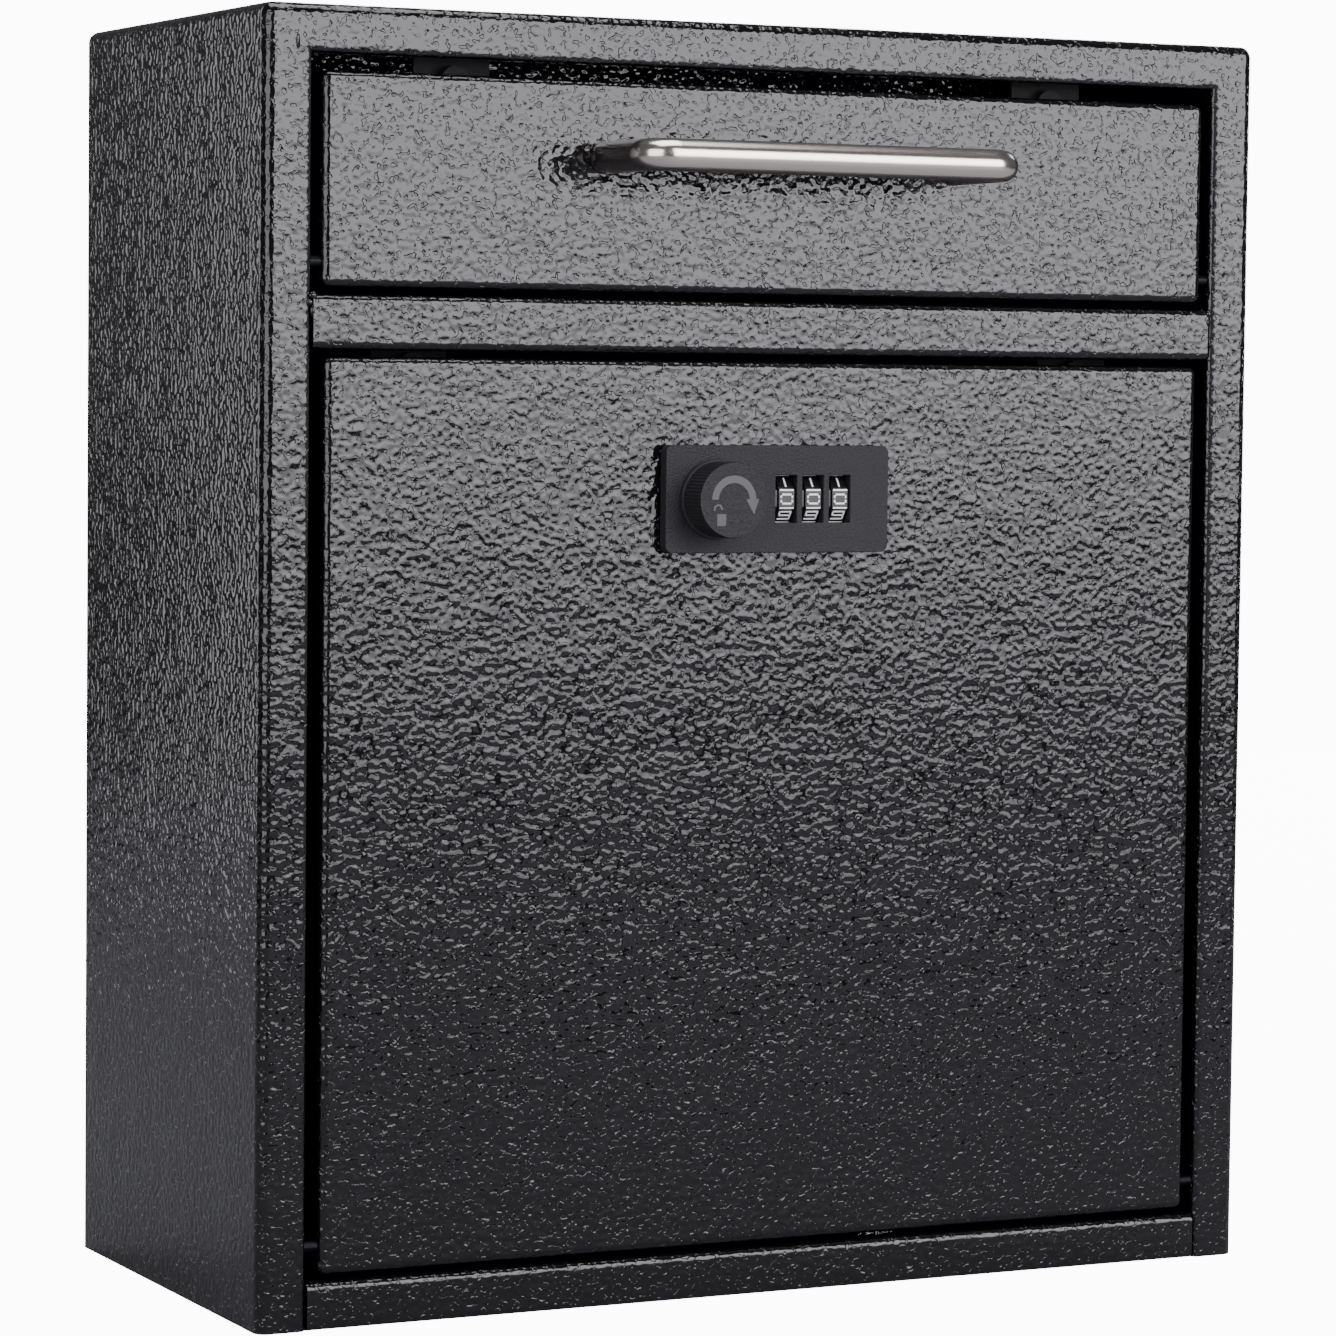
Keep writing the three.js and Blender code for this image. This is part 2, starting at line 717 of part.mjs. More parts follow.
function makeFaceplate() {
  const x = [lockX - plateWidth / 2, lockX + plateWidth / 2];
  const z = [lockZ - plateHeight / 2, lockZ + plateHeight / 2];
  const r = plateCorner;
  const plate = alongY(roundedRectangle(x, z, [r, r, r, r]), faceY, -weldGap);
  const windows = wheelX.map((centre) =>
    box(
      [centre - windowWidth / 2, centre + windowWidth / 2],
      [faceY - past, past],
      [lockZ - windowHeight / 2, lockZ + windowHeight / 2],
    ),
  );
  const windowHalf = windowWidth / 2 + wheelClear;
  const wheelHalf = wheelRadius + wheelClear;
  const hollow = box(
    [wheelX[0] - windowHalf, wheelX[2] + windowHalf],
    [faceY + plateSkin, past],
    [lockZ - wheelHalf, lockZ + wheelHalf],
  );
  const bore = rodY(spindleRadius + screwPlay, faceY - past, past, knobX, lockZ);
  const taps = [-clampScrewX, clampScrewX].map((offset) =>
    rodY(smallScrewRadius + screwPlay, plateSkin - plateThickness, past, lockX + offset, lockZ),
  );
  return cut(plate, ...windows, hollow, bore, ...taps);
}
place("lock_faceplate", makeFaceplate(), ...blackPlastic);

const ribEnd = wheelX[0] - wheelPitch / 2 - ribGap;
const ribX = [ribEnd - housingWall, ribEnd];
const axleEndX = housingX[1] - housingWall / 3;
function makeHousing() {
  const shell = cut(
    box(housingX, [0, housingBack], housingZ),
    box(
      [housingX[0] + housingWall, housingX[1] - housingWall],
      [-past, housingBack - housingWall],
      [housingZ[0] + housingWall, housingZ[1] - housingWall],
    ),
  );
  const rib = box(
    ribX,
    [0, housingBack - housingWall / 2],
    [housingZ[0] + housingWall / 2, housingZ[1] - housingWall / 2],
  );
  const axleSpan = [ribX[0] - past, axleEndX + weldGap];
  const axleHole = rodX(axleRadius + pinPlay, ...axleSpan, wheelY, lockZ);
  const bore = rodY(spindleRadius + screwPlay, 0, housingBack + past, knobX, lockZ);
  return cut(joined(shell, rib), axleHole, bore);
}
place("lock_housing", makeHousing(), ...zincPlate);

const axle = rodX(axleRadius, ribX[0] - axleOverhang, axleEndX, wheelY, lockZ);
place("wheel_axle", axle, ...springSteel);

// Ten-sided wheel: a shallow flat for each number and a ridge between the flats.
function makeWheel(centre) {
  const points = [];
  for (let i = 0; i < wheelFaces; i += 1) {
    const middle = 180 + (i * 360) / wheelFaces;
    const half = 180 / wheelFaces;
    const corners = [
      [ridgeAngle - half, wheelRadius],
      [grooveAngle - half, wheelRadius - wheelGroove],
      [half - grooveAngle, wheelRadius - wheelGroove],
      [half - ridgeAngle, wheelRadius],
    ];
    for (const [turn, radius] of corners) {
      const a = (middle + turn) * deg;
      points.push([wheelY + radius * Math.cos(a), lockZ + radius * Math.sin(a)]);
    }
  }
  const from = centre - wheelWidth / 2;
  const to = centre + wheelWidth / 2;
  const rim = alongX(outline(points), from, to);
  return cut(rim, rodX(axleRadius + pinPlay, from - past, to + past, wheelY, lockZ));
}
wheelX.forEach((centre, i) => place(`number_wheel_${i + 1}`, makeWheel(centre), ...wheelPlastic));

// Leaf spring comb that clicks into the wheels' flats from behind.
function makeDetent() {
  const y = wheelY + wheelRadius + weldGap;
  const x = [wheelX[0] - wheelWidth / 2, wheelX[2] + wheelWidth / 2];
  const z = [lockZ - springHalfHeight, lockZ + springHalfHeight];
  const plate = box(x, [y, y + springThickness], z);
  const slits = [0, 1].map((i) => {
    const middle = (wheelX[i] + wheelX[i + 1]) / 2;
    return box(
      [middle - springSlit / 2, middle + springSlit / 2],
      [y - past, y + past],
      [z[0] + springRoot, z[1] + past],
    );
  });
  return cut(plate, ...slits);
}
place("wheel_detent", makeDetent(), ...springSteel);

const clampY = [sheet + weldGap, sheet + weldGap + clampThickness];
function makeClamp() {
  const outer = box(
    [lockX - plateWidth / 2, lockX + plateWidth / 2],
    clampY,
    [lockZ - plateHeight / 2 + clampInset, lockZ + plateHeight / 2 - clampInset],
  );
  const passage = box(
    [housingX[0] - weldGap, housingX[1] + weldGap],
    [0, past],
    [housingZ[0] - weldGap, housingZ[1] + weldGap],
  );
  const holes = [-clampScrewX, clampScrewX].map((offset) =>
    rodY(smallScrewRadius + screwPlay, 0, past, lockX + offset, lockZ),
  );
  return cut(outer, passage, ...holes);
}
place("lock_clamp", makeClamp(), ...zincPlate);
for (const [word, side] of sides) {
  const x = lockX + side * clampScrewX;
  const headY = clampY[1] + weldGap;
  const screw = joined(
    rodY(smallScrewRadius, -clampScrewReach, headY + overlap, x, lockZ, smallScrewSteps),
    rodY(screwRadius, headY, headY + clampHeadHeight, x, lockZ, smallScrewSteps),
  );
  place(`clamp_screw_${word}`, screw, ...zincPlate);
}

// Turn knob with a blind bore for its spindle.
const knobBack = faceY - knobGap;
const knobFront = knobBack - knobHeight;
function makeKnob() {
  const profile = [
    [0, knobFront],
    [knobFaceRadius - knobEdge, knobFront],
    [knobFaceRadius, knobFront + knobEdge],
    [knobFaceRadius + knobDraft, knobBack - knobShoulder],
    [knobBaseRadius, knobBack - knobSkirt],
    [knobBaseRadius, knobBack],
    [0, knobBack],
  ].map(([r, y]) => new THREE.Vector2(r, y));
  const body = toSolid(new THREE.LatheGeometry(profile, knobSteps).translate(knobX, 0, lockZ));
  const boreSpan = [knobBack - knobBore, knobBack + past];
  return cut(body, rodY(spindleRadius + screwPlay, ...boreSpan, knobX, lockZ));
}
place("lock_knob", makeKnob(), ...blackPlastic);

const camY = [housingBack + camGap, housingBack + camGap + camThickness];
function makeSpindle() {
  const half = spindleSquare / 2;
  const squareX = [knobX - half, knobX + half];
  const squareZ = [lockZ - half, lockZ + half];
  const shaftSpan = [knobBack - knobBore + weldGap, camY[0] - weldGap];
  const shaft = rodY(spindleRadius, ...shaftSpan, knobX, lockZ);
  const square = box(squareX, [camY[0] - camSeat, camY[1] + weldGap], squareZ);
  const tapSpan = [camY[0] - spindleTap, camY[1] + past];
  const tap = rodY(smallScrewRadius + screwPlay, ...tapSpan, knobX, lockZ, smallScrewSteps);
  return cut(joined(shaft, square), tap);
}
place("lock_spindle", makeSpindle(), ...zincPlate);

// Cam, drawn unlocked: level, pointing to the right.
function makeCam() {
  const half = camWidth / 2;
  const shape = roundedRectangle(
    [knobX - half, knobX + camReach],
    [lockZ - half, lockZ + half],
    [camRootCorner, camTipCorner, camTipCorner, camRootCorner],
  );
  const hole = spindleSquare / 2 + screwPlay;
  const square = box(
    [knobX - hole, knobX + hole],
    [camY[0] - past, camY[1] + past],
    [lockZ - hole, lockZ + hole],
  );
  return cut(alongY(shape, ...camY), square);
}
place("lock_cam", makeCam(), ...zincPlate);

const camWasherY = [camY[1] + 2 * weldGap, camY[1] + 2 * weldGap + washerThickness];
const camWasherHole = [camWasherY[0] - past, camWasherY[1] + past];
const camWasher = cut(
  rodY(washerRadius, ...camWasherY, knobX, lockZ),
  rodY(smallScrewRadius + screwPlay, ...camWasherHole, knobX, lockZ, smallScrewSteps),
);
place("cam_washer", camWasher, ...zincPlate);
const camHeadY = camWasherY[1] + weldGap;
const camShankY = [camY[0] - camScrewReach, camHeadY + overlap];
const camScrew = joined(
  rodY(smallScrewRadius, ...camShankY, knobX, lockZ, smallScrewSteps),
  rodY(camHeadRadius, camHeadY, camHeadY + camHeadHeight, knobX, lockZ),
);
place("cam_screw", camScrew, ...zincPlate);

// Keeper plate on the cross rail, where the locked cam bears.
function makeKeeper() {
  const x = [knobX - keeperHalfWidth, knobX + keeperHalfWidth];
  const front = crossRailDepth + weldGap;
  const shelf = crossRailBottom + sheet + weldGap;
  return joined(
    box(x, [front, front + sheet], [crossRailBottom, shelf + keeperHeight]),
    box(x, [sheet + keeperFoot, front + sheet], [shelf, shelf + sheet]),
  );
}
place("cam_keeper", makeKeeper(), ...paintedSteel);

// ---------------------------------------------------------------- the part's own frame

model.position.set(0, (handleProjection - bodyDepth) / 2, 0);
const part = new THREE.Group();
part.add(model);

export default part;
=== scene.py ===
"""Parcel drop box: folded steel cabinet, tilting flap, retrieval door and combination cam lock.

Sizes of the pieces are in millimetres and are turned to metres by MM; the studio is in metres.
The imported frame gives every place; the front of the box faces -Y and +Z is up.
"""
import json
import math

import bpy
from mathutils import Matrix, Vector


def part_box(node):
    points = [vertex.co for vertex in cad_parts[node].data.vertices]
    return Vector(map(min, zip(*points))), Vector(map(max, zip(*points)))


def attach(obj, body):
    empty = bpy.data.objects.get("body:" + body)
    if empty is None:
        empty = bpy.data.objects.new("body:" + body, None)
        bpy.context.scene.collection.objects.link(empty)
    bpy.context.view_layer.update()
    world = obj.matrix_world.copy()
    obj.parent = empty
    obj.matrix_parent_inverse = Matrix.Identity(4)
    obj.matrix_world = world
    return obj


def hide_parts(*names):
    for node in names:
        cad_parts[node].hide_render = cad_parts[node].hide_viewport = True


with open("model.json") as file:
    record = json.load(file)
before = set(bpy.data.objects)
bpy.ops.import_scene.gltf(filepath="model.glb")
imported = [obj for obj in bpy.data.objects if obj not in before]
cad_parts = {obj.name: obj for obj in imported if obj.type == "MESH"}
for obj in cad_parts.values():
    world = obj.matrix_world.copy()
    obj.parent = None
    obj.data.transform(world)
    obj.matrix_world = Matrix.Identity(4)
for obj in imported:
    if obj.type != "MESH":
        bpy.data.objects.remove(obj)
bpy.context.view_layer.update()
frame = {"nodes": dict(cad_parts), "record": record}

MM = 0.001
SHEET = 1.2 * MM
FIT_GAP = 0.3 * MM
BEND_STEPS = 6
CABINET_BEND = 3.5 * MM
OPENING_BEND = 2.2 * MM
DOOR_BEND = 2.5 * MM
PAN_FOOT_BEND = 1.6 * MM
LIP_DEPTH = 6 * MM
DOOR_LIP = 10 * MM
TOP_RAIL_HEIGHT = 14 * MM
REAR_FLANGE = 14 * MM
PAN_FLANGE = 10 * MM
WING_SETBACK = 1.5 * MM
CUT_EDGE_ROUND = 0.12 * MM
WRAP_EDGE_ROUND = 0.15 * MM

# Two places closer than SAME_PLACE are one. An edge or face direction counts as lying along an
# axis above ALONG and as lying across it below ACROSS.
SAME_PLACE = 2e-5
WELD_DISTANCE = 1e-6
ALONG = 0.9
ACROSS = 0.1


# ------------------------------------------------------------------ mesh helpers

def deselect():
    if bpy.context.object and bpy.context.object.mode != "OBJECT":
        bpy.ops.object.mode_set(mode="OBJECT")
    bpy.ops.object.select_all(action="DESELECT")


def activate(piece):
    """Selects one piece alone and makes it the active one."""
    deselect()
    piece.select_set(True)
    bpy.context.view_layer.objects.active = piece


def join(pieces):
    """Joins the pieces into the first one."""
    deselect()
    for piece in pieces:
        piece.select_set(True)
    bpy.context.view_layer.objects.active = pieces[0]
    bpy.ops.object.join()
    return pieces[0]


def start(name):
    """Names the primitive that was just added and puts its place into its mesh."""
    piece = bpy.context.object
    piece.name = name
    piece.data.name = name
    bpy.ops.object.transform_apply(location=True, rotation=True, scale=True)
    return piece


def block(name, low, high):
    """Cube primitive between two corners, to be worked on."""
    deselect()
    low, high = Vector(low), Vector(high)
    bpy.ops.mesh.primitive_cube_add(size=1, location=(low + high) / 2, scale=high - low)
    return start(name)


def rod(name, radius, length, centre, turn, vertices):
    deselect()
    bpy.ops.mesh.primitive_cylinder_add(
        vertices=vertices, radius=radius, depth=length, location=centre, rotation=turn
    )
    return start(name)


def edit(piece, kind, test):
    """Edit mode with only the faces, edges or vertices selected whose middle passes the test."""
    activate(piece)
    bpy.ops.object.mode_set(mode="EDIT")
    bpy.ops.mesh.select_mode(type=kind)
    bpy.ops.mesh.select_all(action="DESELECT")
    bpy.ops.object.mode_set(mode="OBJECT")
    mesh = piece.data
    if kind == "FACE":
        for face in mesh.polygons:
            face.select = test(face.center, face.normal)
    elif kind == "EDGE":
        for edge in mesh.edges:
            ends = [mesh.vertices[i].co for i in edge.vertices]
            edge.select = test((ends[0] + ends[1]) / 2, (ends[1] - ends[0]).normalized())
    else:
        for vertex in mesh.vertices:
            vertex.select = test(vertex.co, vertex.normal)
    bpy.ops.object.mode_set(mode="EDIT")


def done():
    bpy.ops.object.mode_set(mode="OBJECT")


def near(a, b):
    return abs(a - b) < SAME_PLACE


def cut_plane(piece, axis, at, test):
    """Bisects the selected faces of a piece by a plane across one axis."""
    edit(piece, "FACE", test)
    place = [0, 0, 0]
    normal = [0, 0, 0]
    place[axis] = at
    normal[axis] = 1
    bpy.ops.mesh.bisect(plane_co=place, plane_no=normal)
    done()


def delete_faces(piece, test):
    edit(piece, "FACE", test)
    bpy.ops.mesh.delete(type="FACE")
    done()


def bevel(piece, width, steps, test):
    edit(piece, "EDGE", test)
    bpy.ops.mesh.bevel(offset=width, offset_type="OFFSET", segments=steps, affect="EDGES")
    done()


def finish_with(piece, kind, **settings):
    """Adds a modifier, sets it and applies it."""
    activate(piece)
    modifier = piece.modifiers.new(kind, kind)
    for name, value in settings.items():
        setattr(modifier, name, value)
    bpy.ops.object.modifier_apply(modifier=modifier.name)


def round_edges(piece, width, steps=2, angle=60):
    """Takes the sharpness off every edge that turns more than the angle."""
    finish_with(piece, "BEVEL", width=width, segments=steps, limit_method="ANGLE",
                angle_limit=math.radians(angle))


def smooth(piece, angle=35):
    activate(piece)
    bpy.ops.object.shade_smooth_by_angle(angle=math.radians(angle))
    # Large flats keep their true direction next to small bevels.
    finish_with(piece, "WEIGHTED_NORMAL", keep_sharp=True, weight=100)


def weld(piece):
    """Merges doubles and turns all faces outwards."""
    edit(piece, "VERT", lambda co, no: True)
    bpy.ops.mesh.remove_doubles(threshold=WELD_DISTANCE)
    bpy.ops.mesh.select_all(action="SELECT")
    bpy.ops.mesh.normals_make_consistent(inside=False)
    done()


def stamp(piece, body, finish, slot, *nodes):
    """Gives a finished piece its material and body, and hides the nodes it stands for. The slot
    argument is not used.
    """
    piece.data.materials.clear()
    piece.data.materials.append(finish)
    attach(piece, body)
    if nodes:
        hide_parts(*nodes)
    return piece


# ------------------------------------------------------------------ materials

def linear(code):
    """sRGB hex to linear RGBA."""
    channels = [int(code[i:i + 2], 16) / 255 for i in (1, 3, 5)]
    return [c / 12.92 if c <= 0.04045 else ((c + 0.055) / 1.055) ** 2.4 for c in channels] + [1.0]


def new_finish(name, colour, roughness, metallic=0.0, **settings):
    finish = bpy.data.materials.new(name)
    finish.use_nodes = True
    shader = finish.node_tree.nodes["Principled BSDF"]
    shader.inputs["Base Color"].default_value = linear(colour)
    shader.inputs["Roughness"].default_value = roughness
    shader.inputs["Metallic"].default_value = metallic
    for socket, value in settings.items():
        shader.inputs[socket.replace("_", " ")].default_value = value
    return finish, shader


def node(finish, kind, settings=None, links=None, **inputs):
    """Adds a node; settings are its properties, links its inputs' sources, inputs its values."""
    made = finish.node_tree.nodes.new(kind)
    for name, value in (settings or {}).items():
        setattr(made, name, value)
    for name, value in inputs.items():
        made.inputs[name.replace("_", " ")].default_value = value
    for name, source in (links or {}).items():
        finish.node_tree.links.new(source, made.inputs[name])
    return made


def connect(finish, source, target):
    finish.node_tree.links.new(source, target)


def object_coordinates(finish, stretch=(1, 1, 1)):
    where = node(finish, "ShaderNodeTexCoord")
    scaled = node(
        finish, "ShaderNodeMapping", links={"Vector": where.outputs["Object"]}, Scale=stretch
    )
    return scaled.outputs["Vector"]


def per_metre(millimetres):
    """Noise scale that gives one feature every so many millimetres."""
    return 1 / (millimetres * MM)


def noise(finish, where, feature_mm, **inputs):
    """Noise with one feature every so many millimetres."""
    made = node(
        finish, "ShaderNodeTexNoise", links={"Vector": where}, Scale=per_metre(feature_mm), **inputs
    )
    return made.outputs["Fac"]


def map_range(finish, source, settings=None, **limits):
    made = node(finish, "ShaderNodeMapRange", settings, {"Value": source}, **limits)
    return made.outputs["Result"]


def add_roughness(finish, shader, source, low, high):
    """Lets the roughness follow the source between two values."""
    spread = map_range(finish, source, To_Min=low, To_Max=high)
    connect(finish, spread, shader.inputs["Roughness"])


def add_relief(finish, shader, source, strength, distance_mm):
    bump = node(
        finish, "ShaderNodeBump", links={"Height": source},
        Strength=strength, Distance=distance_mm * MM,
    )
    connect(finish, bump.outputs["Normal"], shader.inputs["Normal"])


COAT_GRAIN_MM = 1.9
COAT_HEIGHT_MM = 0.235
PIT_SIZE_MM = 0.8 * COAT_GRAIN_MM
PIT_DEPTH_MM = 0.12
PIT_FROM, PIT_TO = 0.27, 0.4
SWELL_SIZE_MM = 7 * COAT_GRAIN_MM
SWELL_WEIGHT = 1.1


def hammered_powder_coat():
    """Black gloss powder coat baked to a fine hammer texture: a hard shine broken into flecks."""
    finish, shader = new_finish("hammered_powder_coat", "#08080a", 0.1, IOR=1.5)
    where = object_coordinates(finish)
    grain = noise(finish, where, COAT_GRAIN_MM, Detail=0.0, Distortion=0.15)
    # Small pits between the coat's cells leave the crisp black flecks.
    cells = noise(finish, where, PIT_SIZE_MM, Detail=0.0, Distortion=0.6)
    pits = map_range(
        finish, cells, {"interpolation_type": "SMOOTHSTEP"},
        From_Min=PIT_FROM, From_Max=PIT_TO, To_Max=PIT_DEPTH_MM / COAT_HEIGHT_MM,
    )
    # The slow swell makes the flecks gather in loose drifts.
    slow = noise(finish, where, SWELL_SIZE_MM, Detail=1.0, Roughness=0.5)
    fine = node(finish, "ShaderNodeMath", {"operation": "ADD"}, {0: grain, 1: pits})
    total = node(
        finish, "ShaderNodeMath", {"operation": "MULTIPLY_ADD"}, {0: slow, 2: fine.outputs[0]}
    )
    total.inputs[1].default_value = SWELL_WEIGHT
    add_relief(finish, shader, total.outputs[0], 1.0, COAT_HEIGHT_MM)
    add_roughness(finish, shader, slow, 0.02, 0.05)
    return finish


def brushed_stainless():
    """Drawn 304 stainless rod, satin polished along its length: long soft streaks of light."""
    finish, shader = new_finish("satin_stainless_rod", "#d6cfc6", 0.2, 1.0)
    where = object_coordinates(finish, (0.04, 1, 1))
    lines = noise(finish, where, 0.35, Detail=3.0, Roughness=0.6)
    add_roughness(finish, shader, lines, 0.14, 0.25)
    add_relief(finish, shader, lines, 0.12, 0.05)
    return finish


def grained_abs():
    """Black ABS moulded in a spark-eroded die: a dull fine grain with no clear reflection."""
    finish, shader = new_finish("spark_grained_abs", "#1a1a1c", 0.62, Specular_IOR_Level=0.3)
    where = object_coordinates(finish)
    grain = noise(finish, where, 0.6, Detail=1.0, Roughness=0.6)
    add_relief(finish, shader, grain, 1.0, 0.3)
    # A colour mix has its factor, its two colours and its result on these sockets.
    factor, first, second, result = 0, 6, 7, 2
    tone = node(finish, "ShaderNodeMix", {"data_type": "RGBA"}, {factor: grain})
    tone.inputs[first].default_value = linear("#0c0c0e")
    tone.inputs[second].default_value = linear("#2c2c30")
    connect(finish, tone.outputs[result], shader.inputs["Base Color"])
    return finish


def plain_grain(name, colour, roughness, metallic, grain_mm, strength, spread=0.08):
    """A finish with fine uneven grain in its relief and its gloss."""
    finish, shader = new_finish(name, colour, roughness, metallic)
    where = object_coordinates(finish)
    grain = noise(finish, where, grain_mm, Detail=3.0, Roughness=0.6)
    add_roughness(finish, shader, grain, roughness - spread, roughness + spread)
    add_relief(finish, shader, grain, strength, 0.05)
    return finish


FRONT_COAT = hammered_powder_coat()
ROD_STEEL = brushed_stainless()
LOCK_ABS = grained_abs()
# Name, colour, roughness, metallic, grain in millimetres, strength of the relief.
WHEEL_ABS = plain_grain("polished_abs_wheel", "#0c0c0e", 0.3, 0.0, 1.5, 0.1)
SYMBOL_ABS = plain_grain("polished_abs_symbol", "#26262a", 0.32, 0.0, 1.0, 0.08)
NUMBER_PAINT = plain_grain("white_filled_numbers", "#f2f2f0", 0.5, 0.0, 0.8, 0.1)
ZINC = plain_grain("bright_zinc_plate", "#b4b8bc", 0.36, 1.0, 3.0, 0.2)
# Dull coat for the parts behind the doors; its colour, darker than the front coat, is painted
# shade.
SHADED_INSIDE_COAT = plain_grain("dull_inside_coat_with_painted_shade", "#040405", 0.75, 0.0, 1.5, 0.5)
BLACK_OXIDE = plain_grain("black_oxide_steel", "#1c1c1f", 0.42, 1.0, 1.2, 0.15)
SPRING = plain_grain("polished_spring_steel", "#9ea2a6", 0.3, 1.0, 1.0, 0.1)
RUBBER = plain_grain("matt_nitrile_rubber", "#1a1a1a", 0.8, 0.0, 0.8, 0.4)


# ------------------------------------------------------------------ cabinet

def make_wrap():
    """Sides and top in one fold, with stiles, top rail and rear flanges."""
    low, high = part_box("cabinet_wrap")
    open_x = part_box("cross_rail")[1].x + FIT_GAP
    open_top = high.z - TOP_RAIL_HEIGHT
    rear_x = high.x - REAR_FLANGE
    wrap = block("cabinet_wrap_skin", low, high)
    front = lambda co, no: near(co.y, low.y)
    rear = lambda co, no: near(co.y, high.y)
    for side in (-1, 1):
        cut_plane(wrap, 0, side * open_x, front)
        cut_plane(wrap, 0, side * rear_x, rear)
    cut_plane(wrap, 2, open_top, front)
    cut_plane(wrap, 2, open_top, rear)
    delete_faces(wrap, lambda co, no: (
        (near(co.y, low.y) and abs(co.x) < open_x and co.z < open_top)
        or (near(co.y, high.y) and abs(co.x) < rear_x and co.z < open_top)
        or near(co.z, low.z)
    ))
    weld(wrap)
    edge_of_opening = lambda co, run: near(co.y, low.y) and (
        (near(abs(co.x), open_x) and co.z < open_top and abs(run.z) > ALONG)
        or (near(co.z, open_top) and abs(co.x) < open_x and abs(run.x) > ALONG)
    )
    edit(wrap, "EDGE", edge_of_opening)
    bpy.ops.mesh.extrude_region_move(TRANSFORM_OT_translate={"value": (0, LIP_DEPTH, 0)})
    done()
    bevel(wrap, OPENING_BEND, BEND_STEPS, edge_of_opening)
    corner = lambda co, run: (
        (near(abs(co.x), high.x) and (near(co.y, low.y) or near(co.y, high.y)))
        or (near(co.z, high.z) and (
            near(abs(co.x), high.x) or near(co.y, low.y) or near(co.y, high.y)))
    )
    bevel(wrap, CABINET_BEND, BEND_STEPS, corner)
    finish_with(wrap, "SOLIDIFY", thickness=SHEET, offset=-1)
    round_edges(wrap, WRAP_EDGE_ROUND)
    smooth(wrap)
    return stamp(wrap, "cabinet", FRONT_COAT, "powder_coat", "cabinet_wrap")


def make_cross_rail():
    """Channel along X, open at the back and at its ends."""
    low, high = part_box("cross_rail")
    strip = block("cross_rail_channel", low, high)
    delete_faces(strip, lambda co, no: near(co.y, high.y) or near(abs(co.x), high.x))
    weld(strip)
    bevel(strip, DOOR_BEND, BEND_STEPS, lambda co, run: near(co.y, low.y) and abs(run.x) > ALONG)
    finish_with(strip, "SOLIDIFY", thickness=SHEET, offset=-1)
    round_edges(strip, CUT_EDGE_ROUND)
    smooth(strip)
    return stamp(strip, "cabinet", FRONT_COAT, "powder_coat", "cross_rail")


def make_bottom_pan():
    """Base tray: the bottom rail folded up with a short flange, a low upstand behind, and wings."""
    low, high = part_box("bottom_pan")
    rail_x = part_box("cross_rail")[1].x
    flange_y = low.y + PAN_FLANGE
    pan = block("bottom_pan_fold", (-rail_x, low.y, low.z), (rail_x, high.y, high.z))
    cut_plane(pan, 1, flange_y, lambda co, no: no.z > ALONG)
    delete_faces(pan, lambda co, no: abs(no.x) > ALONG or (no.z > ALONG and co.y > flange_y))
    weld(pan)
    bevel(pan, DOOR_BEND, BEND_STEPS, lambda co, run: (
        abs(run.x) > ALONG and near(co.y, low.y) and near(co.z, high.z)))
    bevel(pan, PAN_FOOT_BEND, BEND_STEPS, lambda co, run: (
        abs(run.x) > ALONG and near(co.z, low.z) and (near(co.y, low.y) or near(co.y, high.y))))
    finish_with(pan, "SOLIDIFY", thickness=SHEET, offset=-1)
    pieces = [pan]
    for side in (-1, 1):
        first_x, last_x = sorted((side * rail_x, side * high.x))
        wing = block(
            "bottom_pan_wing",
            (first_x, low.y + WING_SETBACK, low.z),
            (last_x, high.y - WING_SETBACK, low.z + SHEET),
        )
        bevel(wing, CABINET_BEND, BEND_STEPS, lambda co, run: (
            abs(run.z) > ALONG and near(co.x, side * high.x)))
        pieces.append(wing)
    join(pieces)
    round_edges(pan, CUT_EDGE_ROUND)
    smooth(pan)
    return stamp(pan, "cabinet", FRONT_COAT, "powder_coat", "bottom_pan")


def make_panel(name, body, window, lip, *nodes):
    """Folded door: skin, returns all round, an optional lip turned in behind, optional window."""
    low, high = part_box(nodes[0])
    panel = block(name, low, high)
    edit(panel, "FACE", lambda co, no: near(co.y, high.y))
    if lip:
        bpy.ops.mesh.inset(thickness=lip)
    bpy.ops.mesh.delete(type="FACE")
    done()
    front = lambda co, no: near(co.y, low.y)
    if window:
        first, last = window
        for axis in (0, 2):
            cut_plane(panel, axis, first[axis], front)
            cut_plane(panel, axis, last[axis], front)
        delete_faces(panel, lambda co, no: (
            near(co.y, low.y) and first.x < co.x < last.x and first.z < co.z < last.z))
    weld(panel)
    folds = lambda co, run: (
        (near(co.y, low.y) and (
            near(co.x, low.x) or near(co.x, high.x) or near(co.z, low.z) or near(co.z, high.z)))
        or (abs(run.y) > ALONG and near(abs(co.x), high.x))
    )
    bevel(panel, DOOR_BEND, BEND_STEPS, folds)
    finish_with(panel, "SOLIDIFY", thickness=SHEET, offset=-1)
    round_edges(panel, CUT_EDGE_ROUND)
    smooth(panel)
    return stamp(panel, body, FRONT_COAT, "powder_coat", *nodes)


RUN_SINK = 0.25 * MM
RUN_THICKNESS = 0.7
RUN_UNEVEN = 0.08 * MM


